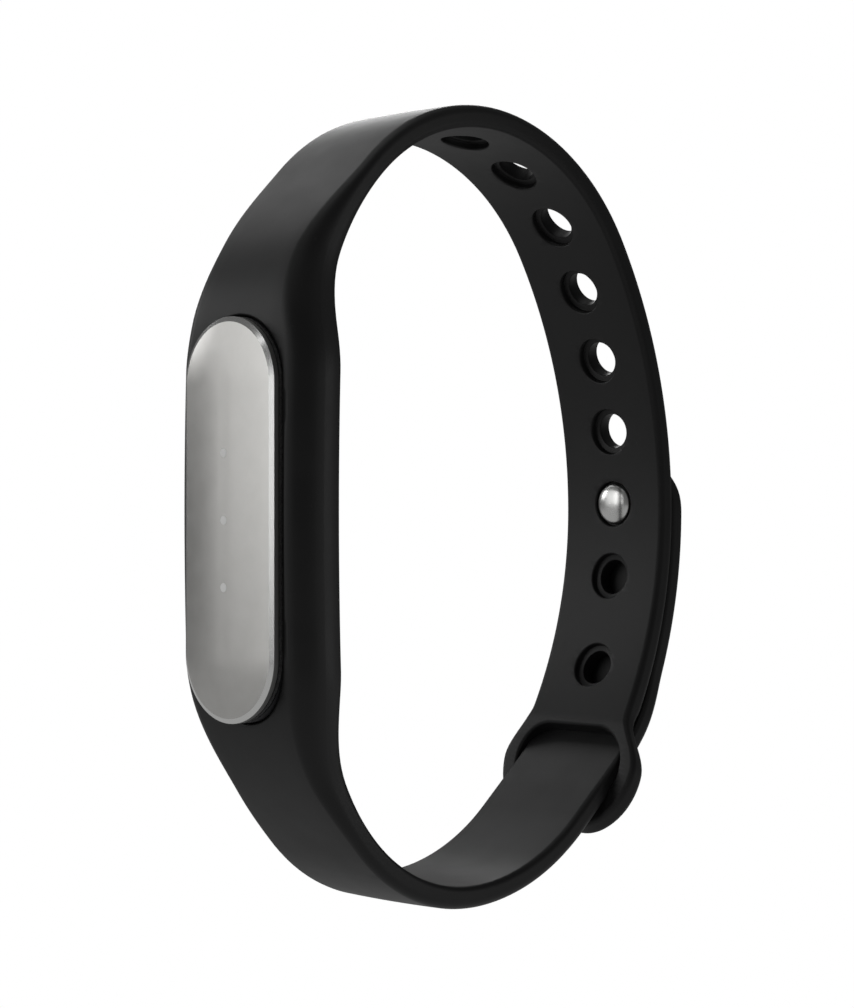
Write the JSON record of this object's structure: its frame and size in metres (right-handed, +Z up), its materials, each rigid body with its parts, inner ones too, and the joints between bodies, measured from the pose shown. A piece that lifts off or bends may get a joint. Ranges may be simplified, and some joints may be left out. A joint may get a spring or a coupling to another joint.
{
  "type": "fitness tracker band",
  "caption": "Closed black rubber wrist band with a row of adjustment holes, a keeper loop and stud clasp, holding a slim metal-faced activity tracker capsule.",
  "frame": {"origin": "centre of the wrist opening, level with the middle of the band's height", "axes": "+X along the wrist, -Y out of the capsule's face, +Z up along the capsule's length"},
  "size_m": [0.0178, 0.0586, 0.0764],
  "materials": {
    "rubber": "satin black moulded elastomer",
    "plate_metal": "fine bead-blasted, satin",
    "clasp_metal": "satin polished",
    "shell_plastic": "fine matt black",
    "clear_plastic": "clear to milky",
    "board": "solder-mask green",
    "chip_black": "moulded black",
    "ceramic": "plain",
    "gold": "gold plated",
    "nickel": "nickel plated",
    "cell_foil": "satin foil",
    "foam": "matt foam",
    "motor_steel": "ground",
    "magnet": "nickel plated, dark",
    "rotor_metal": "sintered heavy metal"
  },
  "bodies": {
    "band": {"band": "rubber"},
    "capsule": {"top_plate": "plate_metal", "lower_shell": "shell_plastic", "light_guide": "clear_plastic", "cover_seal": "foam", "circuit_board": "board", "led_1": "clear_plastic", "led_2": "clear_plastic", "led_3": "clear_plastic", "radio_chip": "chip_black", "motion_sensor": "chip_black", "charger_chip": "chip_black", "crystal": "nickel", "antenna": "ceramic", "foam_pad": "foam", "battery_cell": "cell_foil", "battery_board": "board", "battery_tab_negative": "nickel", "battery_tab_positive": "nickel", "contact_left": "gold", "contact_spring_left": "gold", "contact_right": "gold", "contact_spring_right": "gold", "motor_case": "nickel", "motor_base": "nickel", "motor_shaft": "motor_steel", "motor_magnet": "magnet"},
    "tail": {"tail_end": "rubber", "clasp_stud": "clasp_metal", "clasp_button": "clasp_metal"},
    "rotor": {"motor_rotor": "rotor_metal"}
  },
  "joints": [
    {"name": "capsule_release", "type": "slide", "parent": "band", "child": "capsule", "axis": [0, -1, 0], "range_m": [0, 0.014]},
    {"name": "tail_peel", "type": "hinge", "parent": "band", "child": "tail", "pos_m": [0, 0.02769, -0.01999], "axis": [-1, 0, 0], "range_deg": [0, 60]},
    {"name": "motor_spin", "type": "hinge", "parent": "capsule", "child": "rotor", "pos_m": [0, -0.0194, 0.01045], "axis": [0, -1, 0], "continuous": true}
  ]
}
